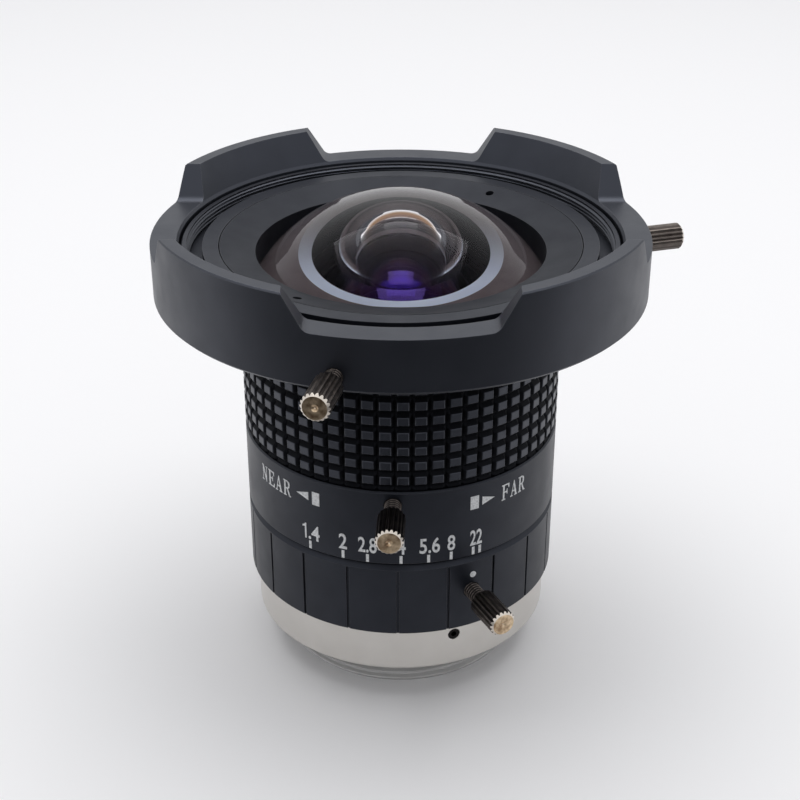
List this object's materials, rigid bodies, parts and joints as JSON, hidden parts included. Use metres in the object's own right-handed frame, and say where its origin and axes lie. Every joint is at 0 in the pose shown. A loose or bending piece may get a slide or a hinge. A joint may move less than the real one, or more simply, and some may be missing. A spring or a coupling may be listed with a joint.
{
  "type": "f-theta lens",
  "caption": "Very wide angle f-theta lens with a C mount, a knurled focus ring, a lockable iris ring, a domed front glass and a petal hood clamped by thumb screws.",
  "frame": {"origin": "centre of the C mount flange face, on the optical axis", "axes": "+Z along the optical axis towards the front glass, -Y towards the side that carries the aperture scale, +X to the right of that side"},
  "size_m": [0.055, 0.0553, 0.0504],
  "materials": {
    "foot_metal": "satin nickel plated",
    "barrel_black": "satin black anodised, with white engraved figures",
    "hood_black": "fine matt black anodised",
    "inner_black": "dull black anodised",
    "screw_steel": "dark plated steel",
    "knob_metal": "dark nickel plated brass",
    "blade_black": "dull black",
    "front_glass": "coated, with a faint violet and bronze sheen",
    "inner_glass": "coated, with a violet and blue sheen"
  },
  "bodies": {
    "barrel": {"mount_base": "foot_metal", "mount_set_screws": "screw_steel", "main_barrel": "barrel_black", "guide_screw": "screw_steel", "focus_ring_retainer": "inner_black"},
    "focus_ring": {"focus_ring": "barrel_black"},
    "front_group": {"front_barrel": "barrel_black", "front_element": "front_glass", "front_retaining_ring": "barrel_black", "inner_cell": "inner_black", "second_element": "inner_glass", "second_retaining_ring": "inner_black", "third_element": "inner_glass", "inner_spacer": "inner_black", "fourth_element": "inner_glass", "inner_cell_rear_ring": "inner_black", "iris_base_plate": "inner_black", "iris_snap_ring": "screw_steel", "rear_cell": "inner_black", "doublet_rear": "inner_glass", "doublet_front": "inner_glass", "doublet_retaining_ring": "inner_black", "rear_element": "inner_glass", "rear_retaining_ring": "inner_black"},
    "hood": {"hood": "hood_black"},
    "iris_ring": {"iris_ring": "barrel_black", "iris_drive_pin": "screw_steel"},
    "iris_drive": {"iris_drive_ring": "inner_black"},
    "iris_blade_1": {"iris_blade_1": "blade_black"},
    "iris_blade_2": {"iris_blade_2": "blade_black"},
    "iris_blade_3": {"iris_blade_3": "blade_black"},
    "iris_blade_4": {"iris_blade_4": "blade_black"},
    "iris_blade_5": {"iris_blade_5": "blade_black"},
    "hood_screw_stud_1": {"hood_screw_stud_1": "screw_steel"},
    "hood_screw_knob_1": {"hood_screw_knob_1": "knob_metal"},
    "hood_screw_stud_2": {"hood_screw_stud_2": "screw_steel"},
    "hood_screw_knob_2": {"hood_screw_knob_2": "knob_metal"},
    "hood_screw_stud_3": {"hood_screw_stud_3": "screw_steel"},
    "hood_screw_knob_3": {"hood_screw_knob_3": "knob_metal"},
    "focus_lock_stud": {"focus_lock_stud": "screw_steel"},
    "focus_lock_knob": {"focus_lock_knob": "knob_metal"},
    "iris_lock_stud": {"iris_lock_stud": "screw_steel"},
    "iris_lock_knob": {"iris_lock_knob": "knob_metal"}
  },
  "joints": [
    {"name": "focus_ring_turn", "type": "hinge", "parent": "barrel", "child": "focus_ring", "pos_m": [0, 0, 0.0282], "axis": [0, 0, 1], "range_deg": [-60, 60]},
    {"name": "front_group_slide", "type": "slide", "parent": "barrel", "child": "front_group", "axis": [0, 0, 1], "range_m": [-0.000449, 0.000449]},
    {"name": "hood_turn", "type": "hinge", "parent": "front_group", "child": "hood", "pos_m": [0, 0, 0.0388], "axis": [0, 0, 1], "continuous": true},
    {"name": "iris_ring_turn", "type": "hinge", "parent": "barrel", "child": "iris_ring", "pos_m": [0, 0, 0.00925], "axis": [0, 0, 1], "range_deg": [-59.8, 2.6]},
    {"name": "iris_drive_turn", "type": "hinge", "parent": "front_group", "child": "iris_drive", "pos_m": [0, 0, 0.0107], "axis": [0, 0, 1], "range_deg": [-59.8, 2.6]},
    {"name": "iris_blade_1_swing", "type": "hinge", "parent": "front_group", "child": "iris_blade_1", "pos_m": [0.0069, 0, 0.012], "axis": [0, 0, 1], "range_deg": [-24.92, 1.09]},
    {"name": "iris_blade_2_swing", "type": "hinge", "parent": "front_group", "child": "iris_blade_2", "pos_m": [0.00213, 0.00656, 0.012], "axis": [0, 0, 1], "range_deg": [-24.92, 1.09]},
    {"name": "iris_blade_3_swing", "type": "hinge", "parent": "front_group", "child": "iris_blade_3", "pos_m": [-0.00558, 0.00406, 0.012], "axis": [0, 0, 1], "range_deg": [-24.92, 1.09]},
    {"name": "iris_blade_4_swing", "type": "hinge", "parent": "front_group", "child": "iris_blade_4", "pos_m": [-0.00558, -0.00406, 0.012], "axis": [0, 0, 1], "range_deg": [-24.92, 1.09]},
    {"name": "iris_blade_5_swing", "type": "hinge", "parent": "front_group", "child": "iris_blade_5", "pos_m": [0.00213, -0.00656, 0.012], "axis": [0, 0, 1], "range_deg": [-24.92, 1.09]},
    {"name": "hood_screw_stud_1_advance", "type": "slide", "parent": "hood", "child": "hood_screw_stud_1", "axis": [-0.2368, -0.9715, 0], "range_m": [0, 0.000524]},
    {"name": "hood_screw_knob_1_turn", "type": "hinge", "parent": "hood_screw_stud_1", "child": "hood_screw_knob_1", "pos_m": [-0.00663, -0.0272, 0.0388], "axis": [-0.2368, -0.9715, 0], "range_deg": [0, 540]},
    {"name": "hood_screw_stud_2_advance", "type": "slide", "parent": "hood", "child": "hood_screw_stud_2", "axis": [0.9598, 0.2807, 0], "range_m": [0, 0.000524]},
    {"name": "hood_screw_knob_2_turn", "type": "hinge", "parent": "hood_screw_stud_2", "child": "hood_screw_knob_2", "pos_m": [0.02687, 0.00786, 0.0388], "axis": [0.9598, 0.2807, 0], "range_deg": [0, 540]},
    {"name": "hood_screw_stud_3_advance", "type": "slide", "parent": "hood", "child": "hood_screw_stud_3", "axis": [-0.723, 0.6909, 0], "range_m": [0, 0.000524]},
    {"name": "hood_screw_knob_3_turn", "type": "hinge", "parent": "hood_screw_stud_3", "child": "hood_screw_knob_3", "pos_m": [-0.02024, 0.01934, 0.0388], "axis": [-0.723, 0.6909, 0], "range_deg": [0, 540]},
    {"name": "focus_lock_stud_advance", "type": "slide", "parent": "barrel", "child": "focus_lock_stud", "axis": [-0.0488, -0.9988, 0], "range_m": [0, 0.000524]},
    {"name": "focus_lock_knob_turn", "type": "hinge", "parent": "focus_lock_stud", "child": "focus_lock_knob", "pos_m": [-0.00098, -0.01998, 0.0206], "axis": [-0.0488, -0.9988, 0], "range_deg": [0, 540]},
    {"name": "iris_lock_stud_advance", "type": "slide", "parent": "iris_ring", "child": "iris_lock_stud", "axis": [0.4384, -0.8988, 0], "range_m": [0, 0.000524]},
    {"name": "iris_lock_knob_turn", "type": "hinge", "parent": "iris_lock_stud", "child": "iris_lock_knob", "pos_m": [0.00877, -0.01798, 0.0095], "axis": [0.4384, -0.8988, 0], "range_deg": [0, 540]}
  ],
  "couplings": [
    {"joint": "focus_ring_turn", "follows": "front_group_slide", "rad_per_m": -2331},
    {"joint": "iris_drive_turn", "follows": "iris_ring_turn", "ratio": 1},
    {"joint": "iris_blade_1_swing", "follows": "iris_ring_turn", "ratio": 0.41667},
    {"joint": "iris_blade_2_swing", "follows": "iris_ring_turn", "ratio": 0.41667},
    {"joint": "iris_blade_3_swing", "follows": "iris_ring_turn", "ratio": 0.41667},
    {"joint": "iris_blade_4_swing", "follows": "iris_ring_turn", "ratio": 0.41667},
    {"joint": "iris_blade_5_swing", "follows": "iris_ring_turn", "ratio": 0.41667},
    {"joint": "hood_screw_knob_1_turn", "follows": "hood_screw_stud_1_advance", "rad_per_m": 17952},
    {"joint": "hood_screw_knob_2_turn", "follows": "hood_screw_stud_2_advance", "rad_per_m": 17952},
    {"joint": "hood_screw_knob_3_turn", "follows": "hood_screw_stud_3_advance", "rad_per_m": 17952},
    {"joint": "focus_lock_knob_turn", "follows": "focus_lock_stud_advance", "rad_per_m": 17952},
    {"joint": "iris_lock_knob_turn", "follows": "iris_lock_stud_advance", "rad_per_m": 17952}
  ]
}
